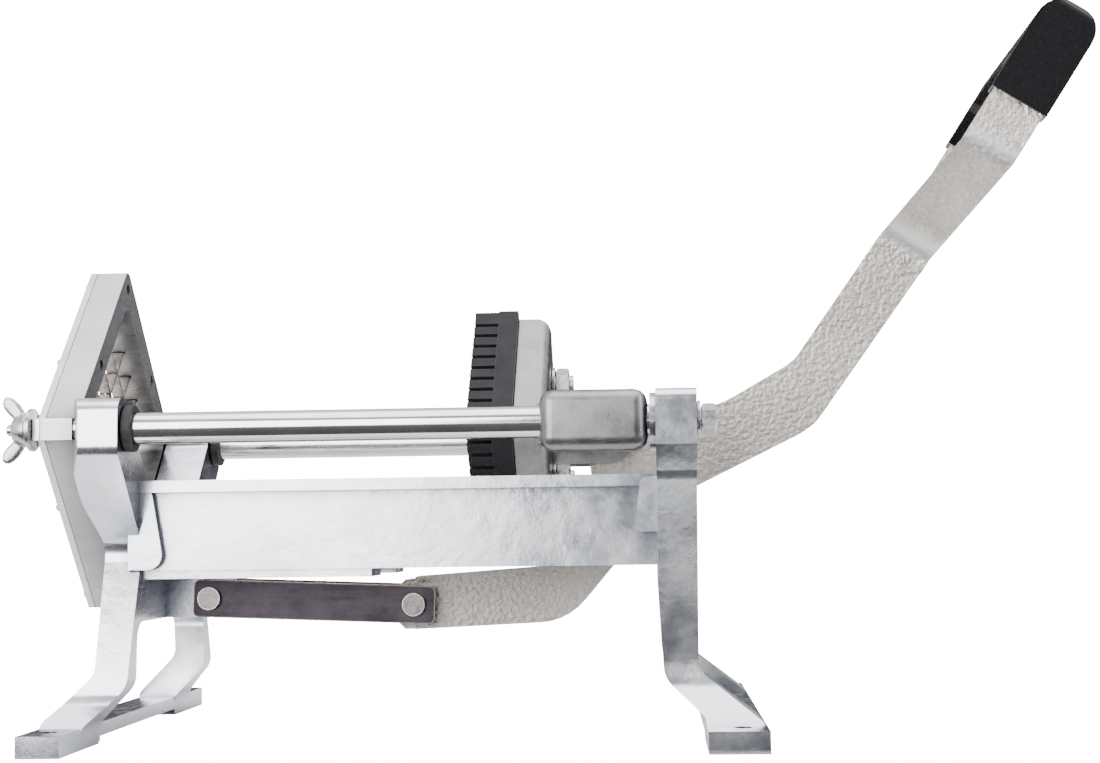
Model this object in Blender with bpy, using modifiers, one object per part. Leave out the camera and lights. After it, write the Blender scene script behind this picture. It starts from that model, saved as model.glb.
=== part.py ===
"""Lever-operated vegetable dicer: a cast frame, two guide rods, a pusher, a lever and a blade cartridge.

X runs along the guide rods, with the blades at -X and the operator at +X. Z is up and the feet stand
on Z = 0. Lengths below are in millimetres, and MM turns them into Blender's metres.
"""

import math

import bmesh
import bpy
from mathutils import Matrix, Vector

MM = 0.001
GAP = 0.3  # clearance between two pieces that touch on the real machine

# Guide rods and everything on their axis
ROD_R = 6.35
ROD_Y = 74.0
AXIS_Z = 125.5
SPIGOT_R = 4.7
THREAD_R = 2.5
BOSS_HALF = 12.0
ROD_FRONT_X = -170.2
ROD_REAR_X = 49.5
STUD_END_X = -218.5

# Frame casting, from front to rear
PLATE_FRONT_X = -190.3
PLATE_REAR_X = -170.5
REAR_BOSS_X = (40.3, 56.4)
FRONT_FOOT_X = (-201.4, -184.7)
REAR_FOOT_X = (57.6, 80.4)
FOOT_HALF_Y = 110.5
FOOT_HEIGHT = 8.4
PAD_INNER_Y = 59.5
RAIL_Y = (46.0, 50.0)
RAIL_Z = (68.6, 104.6)
LEDGE_END_X = -76.0
TROUGH_HALF = 62.0  # half diagonal of the diamond opening

# Blade cartridge
CELL = 14.2
CELLS = 6
OPENING_HALF = CELL * CELLS / 2 * math.sqrt(2)
HOLDER_HALF = 75.5
HOLDER_EAR = (77.8, 4.3)  # the side corners reach out past the studs: end and half height
HOLDER_X = (-203.9, -191.1)
CLAMP_X = (-207.1, -204.2)
BLADE_X = (-203.6, -198.5)
BLADE_THICK = 0.9

# Pusher
TOOTH_X = (-37.0, -26.5)
FLANGE_X = (-26.5, -18.1)
HEAD_X = (-17.8, -4.0)
HEAD_HALF = 49.5
SLEEVE_X = (-5.0, 37.3)
BOLT_RISE = 20.5

# Linkage pivots (x, z) at rest and the piece thicknesses across Y
LEVER_PIVOT = (21.0, 121.5)
LEVER_END = (-63.0, 52.5)
FRAME_LUG = (-150.5, 56.0)
LEVER_HALF = 11.0
LINK_Y = (11.5, 16.0)
EAR_Y = (11.6, 18.0)

# Handle, in the lever's own run: s along the arm, n across it
ARM_ANGLE = math.radians(57.14)
ARM_ORIGIN = (128.5, 149.6)
ARM_WIDTH = 23.4
CREASE_S = 54.5
FLARE_S = 96.0
GRIP_S = 118.8
HANDLE_END_S = 165.1
HANDLE_HALF_Y = 59.0
HANDLE_MID_N = 5.3
HANDLE_WIDTH = 22.8
HANDLE_CORNER = 6.0  # radius of the loop's two end corners
GRIP_THICK = 0.9

SMOOTH_ANGLE = math.radians(40)
CENTRE_SHIFT = 0.374  # brings the middle of the overall length to X = 0


# ---------------------------------------------------------------- scene and materials


def clear_scene():
    for old in list(bpy.data.objects):
        bpy.data.objects.remove(old)


def new_collection(name, hidden=False):
    made = bpy.data.collections.new(name)
    made.hide_render = hidden
    bpy.context.scene.collection.children.link(made)
    return made


def material(name, colour, metallic, roughness):
    made = bpy.data.materials.new(name)
    made.use_nodes = True
    shader = made.node_tree.nodes["Principled BSDF"]
    shader.inputs["Base Color"].default_value = (*colour, 1.0)
    shader.inputs["Metallic"].default_value = metallic
    shader.inputs["Roughness"].default_value = roughness
    made.diffuse_color = (*colour, 1.0)
    return made


clear_scene()
DICER = new_collection("vegetable_dicer")
CUTTERS = new_collection("cutters", hidden=True)

MATERIALS = {
    "cast": material("cast_aluminium", (0.78, 0.79, 0.82), 1.0, 0.25),
    "holder": material("brushed_aluminium", (0.70, 0.70, 0.71), 1.0, 0.35),
    "steel": material("stainless_steel", (0.72, 0.70, 0.66), 1.0, 0.15),
    "zinc": material("zinc_plated_steel", (0.66, 0.66, 0.67), 1.0, 0.35),
    "dark": material("blued_steel", (0.16, 0.14, 0.15), 1.0, 0.4),
    "bronze": material("sintered_bronze", (0.62, 0.45, 0.28), 1.0, 0.45),
    "lever": material("sand_cast_alloy", (0.62, 0.58, 0.53), 1.0, 0.5),
    "grip": material("black_vinyl", (0.012, 0.012, 0.014), 0.0, 0.25),
    "rubber": material("black_rubber", (0.02, 0.02, 0.02), 0.0, 0.7),
    "plastic": material("charcoal_plastic", (0.045, 0.043, 0.05), 0.0, 0.5),
}


# ---------------------------------------------------------------- geometry helpers


def mirrored(half):
    """A closed outline from its +Y half, listed from one point on the middle plane to the other."""
    return half + [(-u, v, *rest) for u, v, *rest in reversed(half) if abs(u) > 1e-6]


def rounded(points, steps=5):
    """Turns corners (u, v, radius) into arcs; a corner without a radius stays sharp."""
    outline = []
    count = len(points)
    for index, (u, v, *radius) in enumerate(points):
        corner = Vector((u, v))
        if not radius or not radius[0]:
            outline.append(corner)
            continue
        before = (Vector(points[index - 1][:2]) - corner).normalized()
        after = (Vector(points[(index + 1) % count][:2]) - corner).normalized()
        half_angle = before.angle(after) / 2
        reach = radius[0] / math.tan(half_angle)
        centre = corner + (before + after).normalized() * radius[0] / math.sin(half_angle)
        start = corner + before * reach - centre
        sweep = start.angle_signed(corner + after * reach - centre)
        for step in range(steps + 1):
            turned = start.copy()
            turned.rotate(Matrix.Rotation(-sweep * step / steps, 2))
            outline.append(centre + turned)
    return outline


def arc(centre, radius, first, last, steps):
    """Points of an arc about centre, with both angles in degrees."""
    angles = [math.radians(first + (last - first) * step / steps) for step in range(steps + 1)]
    return [(centre[0] + radius * math.cos(a), centre[1] + radius * math.sin(a)) for a in angles]


def to_object(name, mesh, look):
    made = bpy.data.objects.new(name, mesh)
    DICER.objects.link(made)
    made.data.materials.clear()
    made.data.materials.append(MATERIALS[look])
    return made


def plate(name, outlines, low, high, frame, look="cast"):
    """A flat outline with holes, drawn in (u, v) and extruded over w from low to high.

    frame is "YZ" (w is X), "XZ" (w is Y) or a matrix that takes (u, v, w) to world millimetres.
    """
    curve = bpy.data.curves.new(name, "CURVE")
    curve.dimensions = "2D"
    curve.fill_mode = "BOTH"
    curve.extrude = (high - low) / 2
    for outline in outlines:
        spline = curve.splines.new("POLY")
        spline.points.add(len(outline) - 1)
        for point, (u, v, *_) in zip(spline.points, outline):
            point.co = (u, v, 0, 1)
        spline.use_cyclic_u = True
    guide = bpy.data.objects.new(name + "_guide", curve)
    bpy.context.scene.collection.objects.link(guide)
    bpy.context.view_layer.update()
    graph = bpy.context.evaluated_depsgraph_get()
    mesh = bpy.data.meshes.new_from_object(guide.evaluated_get(graph))
    bpy.data.objects.remove(guide)
    frames = {
        "YZ": Matrix(((0, 0, 1, 0), (1, 0, 0, 0), (0, 1, 0, 0), (0, 0, 0, 1))),
        "XZ": Matrix(((1, 0, 0, 0), (0, 0, -1, 0), (0, 1, 0, 0), (0, 0, 0, 1))),
    }
    middle = (low + high) / 2
    # In "XZ" the drawing plane's normal is -Y, so the middle changes sign with it.
    lift = Matrix.Translation((0, 0, -middle if frame == "XZ" else middle))
    place = frames.get(frame, frame) if isinstance(frame, str) else frame
    bm = bmesh.new()
    bm.from_mesh(mesh)
    bmesh.ops.remove_doubles(bm, verts=bm.verts, dist=1e-4)
    bmesh.ops.dissolve_limit(bm, angle_limit=math.radians(0.5), verts=bm.verts, edges=bm.edges)
    bmesh.ops.transform(bm, matrix=Matrix.Scale(MM, 4) @ place @ lift, verts=bm.verts)
    bmesh.ops.recalc_face_normals(bm, faces=bm.faces)
    bm.to_mesh(mesh)
    bm.free()
    return to_object(name, mesh, look)


def box(name, x, y, z, look="cast"):
    """An axis-aligned box from three (low, high) pairs."""
    sides = [pair[1] - pair[0] for pair in (x, y, z)]
    centre = [(pair[0] + pair[1]) / 2 for pair in (x, y, z)]
    bm = bmesh.new()
    bmesh.ops.create_cube(bm, size=1.0)
    shape = Matrix.Translation(Vector(centre) * MM) @ Matrix.Diagonal((*(s * MM for s in sides), 1))
    bmesh.ops.transform(bm, matrix=shape, verts=bm.verts)
    mesh = bpy.data.meshes.new(name)
    bm.to_mesh(mesh)
    bm.free()
    return to_object(name, mesh, look)


AXIS_TURN = {
    "X": Matrix.Rotation(math.pi / 2, 4, "Y"),
    "Y": Matrix.Rotation(-math.pi / 2, 4, "X"),
    "Z": Matrix.Identity(4),
}


def rod(name, axis, centre, span, radius, look="steel", segments=24, radius_end=None):
    """A cylinder or cone along an axis; centre holds the two other coordinates and span its ends."""
    end = radius if radius_end is None else radius_end
    bm = bmesh.new()
    bmesh.ops.create_cone(
        bm,
        cap_ends=True,
        segments=segments,
        radius1=radius * MM,
        radius2=end * MM,
        depth=(span[1] - span[0]) * MM,
    )
    middle = (span[0] + span[1]) / 2
    a, b = centre
    place = {"X": (middle, a, b), "Y": (a, middle, b), "Z": (a, b, middle)}[axis]
    # A half-step turn puts flats, and not corners, on top of a six-sided head.
    flats = Matrix.Rotation(math.pi / segments, 4, "Z")
    bmesh.ops.transform(
        bm, matrix=Matrix.Translation(Vector(place) * MM) @ AXIS_TURN[axis] @ flats, verts=bm.verts
    )
    mesh = bpy.data.meshes.new(name)
    bm.to_mesh(mesh)
    bm.free()
    return to_object(name, mesh, look)


def diamond_stack(name, stages, look="cast"):
    """A square stood on its corner about the rod axis, swept along X through (x, half diagonal) stages."""
    bm = bmesh.new()
    start, half = stages[0]
    bmesh.ops.create_circle(bm, segments=4, radius=half)
    edges = bm.edges[:]
    for x, wide in stages[1:]:
        grown = bmesh.ops.extrude_edge_only(bm, edges=edges)["geom"]
        ends = [item for item in grown if isinstance(item, bmesh.types.BMVert)]
        edges = [item for item in grown if isinstance(item, bmesh.types.BMEdge)]
        bmesh.ops.translate(bm, verts=ends, vec=(0, 0, x - start))
        bmesh.ops.scale(bm, verts=ends, vec=(wide / half, wide / half, 1))
        start, half = x, wide
    bmesh.ops.holes_fill(bm, edges=bm.edges)
    place = Matrix.Translation((stages[0][0], 0, AXIS_Z)) @ AXIS_TURN["X"]
    bmesh.ops.transform(bm, matrix=Matrix.Scale(MM, 4) @ place, verts=bm.verts)
    bmesh.ops.recalc_face_normals(bm, faces=bm.faces)
    mesh = bpy.data.meshes.new(name)
    bm.to_mesh(mesh)
    bm.free()
    return to_object(name, mesh, look)


def boolean(target, tool, operation):
    step = target.modifiers.new(tool.name, "BOOLEAN")
    step.operation = operation
    step.object = tool
    step.solver = "EXACT"
    DICER.objects.unlink(tool)
    CUTTERS.objects.link(tool)
    tool.hide_render = True
    tool.display_type = "WIRE"
    return target


def add(target, *tools):
    for tool in tools:
        boolean(target, tool, "UNION")
    return target


def cut(target, *tools):
    for tool in tools:
        boolean(target, tool, "DIFFERENCE")
    return target


def soften(target, width, segments=2, angle=35):
    step = target.modifiers.new("soft_edges", "BEVEL")
    step.width = width * MM
    step.segments = segments
    step.limit_method = "ANGLE"
    step.angle_limit = math.radians(angle)
    step.use_clamp_overlap = True
    return target


def origin_to(target, point):
    """Moves an object's origin to a point in millimetres without moving its shape."""
    place = Vector(point) * MM
    target.data.transform(Matrix.Translation(-place))
    target.location = place
    return target


def diamond(half):
    """A square stood on its corner about the rod axis, as (y, z) points."""
    return [(half, AXIS_Z), (0, AXIS_Z + half), (-half, AXIS_Z), (0, AXIS_Z - half)]


SIDES = (("near", -1), ("far", 1))


def side_span(side, span):
    """A (low, high) pair of distances from the middle plane, as Y on the given side."""
    return tuple(sorted((side * span[0], side * span[1])))


# ---------------------------------------------------------------- frame casting


def front_end(name):
    """The front plate with its two legs: a front view crossed with a side view."""
    boss_in, boss_out = ROD_Y - BOSS_HALF, ROD_Y + BOSS_HALF
    top = AXIS_Z + BOSS_HALF
    view = [
        (0, AXIS_Z - TROUGH_HALF, 6),
        (boss_in, AXIS_Z, 4),
        (boss_in, top, 4),
        (boss_out, top, 7),
        (boss_out, AXIS_Z - 9.5, 6),
        (49.0, 78.0, 10),
        (60.5, 50.0, 20),
        (73.0, 18.0, 12),
        (86.0, FOOT_HEIGHT - 2),
        (86.0, 1.0),
        (58.0, 1.0),
        (55.0, 48.0, 8),
        (0, 48.0),
    ]
    shape = plate(name, [rounded(mirrored(view))], -210, -160, "YZ")
    foot_front, foot_rear = FRONT_FOOT_X
    profile = [
        (PLATE_FRONT_X, 140),
        (PLATE_FRONT_X, 96, 12),
        (-185.5, 80, 12),
        (-184.0, 28, 8),
        (foot_front, FOOT_HEIGHT + 2, 6),
        (foot_front, 0.5),
        (foot_rear, 0.5),
        (foot_rear, FOOT_HEIGHT, 6),
        (PLATE_REAR_X, 23, 10),
        (PLATE_REAR_X, 140),
    ]
    side = plate(name + "_side", [rounded(profile)], -120, 120, "XZ")
    return boolean(shape, side, "INTERSECT")


def boss_corner(name, side):
    """The wedge cut from a front boss's outer front corner, drawn from above."""
    inner, outer = side * (ROD_Y + 3.5), side * (ROD_Y + BOSS_HALF + 2)
    outline = [(-200, inner), (PLATE_FRONT_X, inner), (PLATE_FRONT_X + 5.0, outer), (-200, outer)]
    return plate(name, [outline], AXIS_Z - 34, AXIS_Z + 20, Matrix.Identity(4))


def rear_end(name, side):
    """One rear leg with its boss, crossed from a rear view and a side view."""
    boss_in, boss_out = ROD_Y - BOSS_HALF, ROD_Y + BOSS_HALF
    top = AXIS_Z + BOSS_HALF
    view = [
        (boss_in, top, 5),
        (boss_out, top, 5),
        (boss_out, AXIS_Z - BOSS_HALF + 2),
        (78.0, 104.0, 8),
        (73.0, 26.0, 16),
        (88.0, FOOT_HEIGHT - 2),
        (88.0, 1.0),
        (56.0, 1.0),
        (54.0, 58.0, 10),
        (RAIL_Y[0] - 1, 67.0, 3),
        (RAIL_Y[0] - 1, 107.0, 4),
        (boss_in, 113.0, 4),
    ]
    view = [(side * u, v, *rest) for u, v, *rest in (view if side > 0 else view[::-1])]
    shape = plate(name, [rounded(view)], 30, 90, "YZ")
    boss_front, boss_rear = REAR_BOSS_X
    foot_front, foot_rear = REAR_FOOT_X
    profile = [
        (boss_front, 140),
        (boss_front, 60, 30),
        (42.0, 25, 10),
        (foot_front, 11, 4),
        (foot_front, 0.5),
        (foot_rear, 0.5),
        (foot_rear, FOOT_HEIGHT, 5),
        (55.4, 28, 8),
        (boss_rear, 140),
    ]
    crossing = plate(name + "_side", [rounded(profile)], -120, 120, "XZ")
    return boolean(shape, crossing, "INTERSECT")


def foot_bar(name, span_x, hole_x):
    bar = box(name, span_x, (-FOOT_HALF_Y, FOOT_HALF_Y), (0, FOOT_HEIGHT))
    arch = box(name + "_arch", (span_x[0] - 5, span_x[1] + 5), (-PAD_INNER_Y, PAD_INNER_Y), (-3, 2.9))
    cut(bar, arch)
    for label, side in SIDES:
        cut(bar, rod(f"{name}_hole_{label}", "Z", (hole_x, side * 96.0), (-4, 14), 3.6, segments=16))
    return bar


def rail(name, side):
    front, rear = PLATE_REAR_X - 3, REAR_BOSS_X[0] + 4
    web = box(name, (front, rear), side_span(side, RAIL_Y), RAIL_Z)
    lip = box(name + "_lip", (front, rear), side_span(side, (RAIL_Y[0] + 0.5, 54.5)), (100.4, 105.2))
    ledge = box(name + "_ledge", (front, LEDGE_END_X), side_span(side, (22.0, 49.0)), (65.2, 69.4))
    rib = plate(
        name + "_rib",
        [rounded([(31.0, 82.0, 2), (44.0, 82.0), (44.0, 104.0), (34.0, 104.0, 3)])],
        *side_span(side, (RAIL_Y[1] - 1, 60.0)),
        "XZ",
    )
    return add(web, lip, ledge, rib)


def body_casting():
    body = front_end("body_casting")
    for label, side in SIDES:
        add(body, rail(f"rail_{label}", side), rear_end(f"rear_leg_{label}", side))
        neck = rod(f"neck_{label}", "X", (side * ROD_Y, AXIS_Z), (37.9, 42), 10.8)
        corner = plate(
            f"corner_{label}",
            [rounded([(-175, 69), (-160, 69, 6), (-166, 104, 6), (-175, 104)])],
            *side_span(side, (44.0, 54.0)),
            "XZ",
        )
        add(body, neck, corner)
    floor = box("front_floor", (PLATE_REAR_X - 3, -146.0), (-23, 23), (65.0, 69.2))
    lug_x, lug_z = FRAME_LUG
    lug_outline = [
        (PLATE_REAR_X - 2, lug_z - 8.0),
        (lug_x + 10.5, lug_z - 8.0, 7),
        (lug_x + 10.5, 66.0),
        (PLATE_REAR_X - 2, 66.0),
    ]
    lug = plate("front_lug", [rounded(lug_outline)], -LEVER_HALF, LEVER_HALF, "XZ")
    add(body, floor, lug)
    add(body, foot_bar("front_foot", FRONT_FOOT_X, -193.5), foot_bar("rear_foot", REAR_FOOT_X, 71.0))
    for label, side in SIDES:
        centre = (side * ROD_Y, AXIS_Z)
        cut(
            body,
            rod(f"front_bore_{label}", "X", centre, (-200, -165), SPIGOT_R + GAP),
            rod(f"rear_bore_{label}", "X", centre, (30, ROD_REAR_X + GAP), ROD_R + GAP),
            rod(f"bolt_bore_{label}", "X", centre, (45, 60), THREAD_R + GAP + 0.1, segments=16),
            boss_corner(f"boss_corner_{label}", side),
        )
    cut(body, rod("lug_bore", "Y", FRAME_LUG, (-20, 20), 4.4))
    return body


# ---------------------------------------------------------------- rods and their fasteners


def guide_rod(label, side):
    """A rod with a spigot in the front plate and a stud that carries the blade cartridge."""
    centre = (side * ROD_Y, AXIS_Z)
    shaft = rod(f"guide_rod_{label}", "X", centre, (ROD_FRONT_X, ROD_REAR_X), ROD_R, segments=32)
    spigot = rod(f"spigot_{label}", "X", centre, (PLATE_FRONT_X, ROD_FRONT_X + 2), SPIGOT_R)
    stud = rod(f"stud_{label}", "X", centre, (STUD_END_X, PLATE_FRONT_X + 2), THREAD_R, segments=16)
    socket = rod(f"socket_{label}", "X", centre, (28, 60), THREAD_R + GAP, segments=16)
    return cut(add(shaft, spigot, stud), socket)


def rod_bolt(label, side):
    centre = (side * ROD_Y, AXIS_Z)
    head = rod(f"rod_bolt_{label}", "X", centre, (56.7 + 1.5, 64.2), 6.4, "zinc", segments=6)
    return add(head, rod(f"rod_bolt_shank_{label}", "X", centre, (32, 59), THREAD_R, segments=16))


def ring(name, centre, span, inner, outer, look, axis="X", segments=24):
    """A washer, bush or nut; with six segments its outside is a hexagon and its bore stays round."""
    body = rod(name, axis, centre, span, outer, look, segments=segments)
    reach = (span[0] - 2, span[1] + 2)
    return cut(body, rod(name + "_bore", axis, centre, reach, inner, segments=max(segments, 16)))


def wing_nut(label, side):
    """A hub with two wings that sweep up and forward from it."""
    name = f"wing_nut_{label}"
    centre = (side * ROD_Y, AXIS_Z)
    hub = rod(name, "X", centre, (-216.0, -209.3), 5.2, "zinc", radius_end=7.2)
    for tag, up in (("upper", 1), ("lower", -1)):
        wing = [
            (-210.2, AXIS_Z + up * 3.0),
            (-210.6, AXIS_Z + up * 6.5, 2),
            (-215.0, AXIS_Z + up * 9.0, 2),
            (-217.0, AXIS_Z + up * 14.8, 1.5),
            (-221.0, AXIS_Z + up * 12.8, 1.5),
            (-219.6, AXIS_Z + up * 7.0, 2),
            (-214.5, AXIS_Z + up * 3.0),
        ]
        if up < 0:
            wing.reverse()
        span = (side * ROD_Y - 1.5, side * ROD_Y + 1.5)
        add(hub, plate(f"{name}_{tag}", [rounded(wing, 3)], *span, "XZ"))
    cut(hub, rod(name + "_bore", "X", centre, (-225, -205), THREAD_R + GAP, segments=16))
    return origin_to(hub, (-209.3, side * ROD_Y, AXIS_Z))


# ---------------------------------------------------------------- blade cartridge


def holder_plate(name, span):
    """The square holder ring, with ears on its side corners that hang on the rods' studs."""
    point = HOLDER_HALF - 2.2
    ear_end, ear_half = HOLDER_EAR
    outer = mirrored(
        [
            (2.2, AXIS_Z + point),
            (HOLDER_HALF - ear_half, AXIS_Z + ear_half),
            (ear_end, AXIS_Z + ear_half),
            (ear_end, AXIS_Z - ear_half),
            (HOLDER_HALF - ear_half, AXIS_Z - ear_half),
            (2.2, AXIS_Z - point),
        ]
    )
    inner = [(u, v, 5.0) for u, v in diamond(OPENING_HALF)]
    body = plate(name, [outer, rounded(inner)], *span, "YZ", "holder")
    for label, side in SIDES:
        reach = (span[0] - 3, span[1] + 3)
        centre = (side * ROD_Y, AXIS_Z)
        cut(body, rod(f"{name}_hole_{label}", "X", centre, reach, THREAD_R + GAP, segments=16))
    return body


def screw_places():
    """(label, y, z) of six screws: one in the top and bottom corners and one on each side."""
    apex = 66.2
    middle = (HOLDER_HALF + OPENING_HALF) / 4
    shift = CELL / 2 * math.sqrt(0.5)
    places = [("top", 0, apex), ("bottom", 0, -apex)]
    for row, v in (("upper", 1), ("lower", -1)):
        places += [
            (f"{row}_{label}", side * (middle + shift), v * (middle - shift)) for label, side in SIDES
        ]
    return [(label, y, AXIS_Z + z) for label, y, z in places]


def strip_frame(lean):
    """Takes (along, across, X) to world millimetres for strips that lean one way or the other."""
    c = math.sqrt(0.5)
    return Matrix(((0, 0, 1, 0), (c, -lean * c, 0, 0), (lean * c, c, 0, AXIS_Z), (0, 0, 0, 1)))


def blade_box(name, lean, along, across, span, look="steel"):
    corners = [(along[0], across[0]), (along[1], across[0]), (along[1], across[1]), (along[0], across[1])]
    return plate(name, [corners], *span, strip_frame(lean), look)


def blade_strips():
    """Two crossing rows of strips, half-lapped where they cross."""
    offsets = [CELL * (index - (CELLS - 2) / 2) for index in range(CELLS - 1)]
    reach = CELL * CELLS / 2 + 3.5
    middle = (BLADE_X[0] + BLADE_X[1]) / 2
    laps = {1: (middle - 0.2, BLADE_X[1] + 1), -1: (BLADE_X[0] - 1, middle + 0.2)}
    half = BLADE_THICK / 2
    for row, lean in (("rising", 1), ("falling", -1)):
        for index, offset in enumerate(offsets, 1):
            name = f"blade_{row}_{index}"
            strip = blade_box(name, lean, (-reach, reach), (offset - half, offset + half), BLADE_X)
            for place, other in enumerate(offsets, 1):
                # A rising strip's along axis is the falling strips' across axis, and the reverse flips sign.
                at = other if lean > 0 else -other
                lap = (at - half - GAP, at + half + GAP)
                across = (offset - 2, offset + 2)
                cut(strip, blade_box(f"{name}_lap_{place}", lean, lap, across, laps[lean]))
            yield strip


def blade_frame():
    body = holder_plate("blade_frame", HOLDER_X)
    offsets = [CELL * (index - (CELLS - 2) / 2) for index in range(CELLS - 1)]
    reach = CELL * CELLS / 2 + 3.8
    half = BLADE_THICK / 2 + GAP
    span = (HOLDER_X[0] - 2, BLADE_X[1] + GAP)
    for row, lean in (("rising", 1), ("falling", -1)):
        for index, offset in enumerate(offsets, 1):
            groove = blade_box(
                f"groove_{row}_{index}", lean, (-reach, reach), (offset - half, offset + half), span
            )
            cut(body, groove)
    for label, y, z in screw_places():
        cut(body, rod(f"tapped_hole_{label}", "X", (y, z), (-210, -185), 2.3, segments=12))
    return body


def clamp_plate():
    body = holder_plate("blade_clamp_plate", CLAMP_X)
    for label, y, z in screw_places():
        cut(body, rod(f"clamp_hole_{label}", "X", (y, z), (-210, -200), 2.3, segments=12))
    return body


def blade_screw(label, y, z):
    head = rod(
        f"blade_screw_{label}", "X", (y, z), (-209.4, CLAMP_X[0] - GAP), 2.6, "zinc", 12, radius_end=3.8
    )
    slot = box(f"screw_slot_{label}", (-210.5, -208.6), (y - 5, y + 5), (z - 0.45, z + 0.45))
    shank = rod(f"blade_screw_shank_{label}", "X", (y, z), (-208, -192.0), 2.0, segments=12)
    return cut(add(head, shank), slot)


# ---------------------------------------------------------------- pusher


def pusher_block():
    """A moulded block whose slots line up with the blades."""
    side = 37.5
    turned = strip_frame(1)
    square = [(-side, -side), (side, -side), (side, side), (-side, side)]
    proud = [(u * 1.012, v * 1.012) for u, v in square]
    block = plate("pusher_block", [square], TOOTH_X[0], FLANGE_X[0] + 1, turned, "plastic")
    add(block, plate("block_flange", [proud], *FLANGE_X, turned))
    for lean in (1, -1):
        for index in range(CELLS - 1):
            offset = CELL * (index - (CELLS - 2) / 2)
            span = (TOOTH_X[0] - 2, TOOTH_X[1])
            slot = (offset - 1.2, offset + 1.2)
            cut(block, blade_box(f"tooth_slot_{lean}_{index}", lean, (-45, 45), slot, span))
    for label, rise in (("upper", BOLT_RISE), ("lower", -BOLT_RISE)):
        centre = (0, AXIS_Z + rise)
        cut(
            block,
            rod(f"block_recess_{label}", "X", centre, (TOOTH_X[0] - 2, -22.5), 7.2),
            rod(f"block_hole_{label}", "X", centre, (-30, -15), 4.4),
        )
    return block


def pusher_head():
    rear = HEAD_X[1]
    # The rear face is domed, in three tapers.
    head = diamond_stack(
        "pusher_head",
        [
            (HEAD_X[0], HEAD_HALF),
            (rear - 5.0, HEAD_HALF),
            (rear - 2.6, HEAD_HALF - 1.2),
            (rear - 1.0, HEAD_HALF - 3.0),
            (rear, HEAD_HALF - 5.5),
        ],
    )
    for label, rise in (("upper", BOLT_RISE), ("lower", -BOLT_RISE)):
        cut(head, rod(f"head_hole_{label}", "X", (0, AXIS_Z + rise), (-25, 5), 4.4))
    pivot_x, pivot_z = LEVER_PIVOT
    for label, side in SIDES:
        arm = plate(
            f"head_arm_{label}",
            [rounded([(-7.0, 117.5), (12, 117.5), (12, 133.5), (-7.0, 133.5)])],
            *side_span(side, (16.0, 66.0)),
            "XZ",
        )
        sleeve = box(
            f"sleeve_{label}",
            SLEEVE_X,
            side_span(side, (ROD_Y - BOSS_HALF, ROD_Y + BOSS_HALF)),
            (AXIS_Z - BOSS_HALF, AXIS_Z + BOSS_HALF),
        )
        soften(sleeve, 5.5, 3, 60)
        ear_outline = [(-6.0, pivot_z - 10.5), *arc(LEVER_PIVOT, 10.5, -90, 90, 10), (-6.0, pivot_z + 10.5)]
        ear = plate(f"ear_{label}", [ear_outline], *side_span(side, EAR_Y), "XZ")
        add(head, arm, sleeve, ear)
    for label, side in SIDES:
        centre = (side * ROD_Y, AXIS_Z)
        cut(head, rod(f"sleeve_bore_{label}", "X", centre, (-20, 45), 8.3, segments=32))
    cut(head, rod("ear_bore", "Y", (pivot_x, pivot_z), (-25, 25), 4.4))
    return head


def pusher_fasteners():
    for label, rise in (("upper", BOLT_RISE), ("lower", -BOLT_RISE)):
        centre = (0, AXIS_Z + rise)
        bolt = rod(f"pusher_bolt_{label}", "X", centre, (-26.2, -22.8), 6.6, "zinc")
        add(bolt, rod(f"pusher_bolt_shank_{label}", "X", centre, (-24, 5.4), 4.0))
        ring(f"pusher_washer_{label}", centre, (-3.7, -2.5), 4.3, 7.6, "zinc")
        ring(f"pusher_nut_{label}", centre, (-2.2, 3.6), 4.3, 7.3, "zinc", segments=6)


# ---------------------------------------------------------------- lever and links


def arm_frame():
    """Takes (s, n, across) to world millimetres, with s along the arm and n towards its upper face."""
    c, s = math.cos(ARM_ANGLE), math.sin(ARM_ANGLE)
    x, z = ARM_ORIGIN
    return Matrix(((c, -s, 0, x), (0, 0, -1, 0), (s, c, 0, z), (0, 0, 0, 1)))


def loop_frame():
    """Takes (s, Y, n) to world millimetres, for the handle's loop seen square to its flat face."""
    c, s = math.cos(ARM_ANGLE), math.sin(ARM_ANGLE)
    x, z = ARM_ORIGIN
    return Matrix(((c, 0, -s, x), (0, 1, 0, 0), (s, 0, c, z), (0, 0, 0, 1)))


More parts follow.
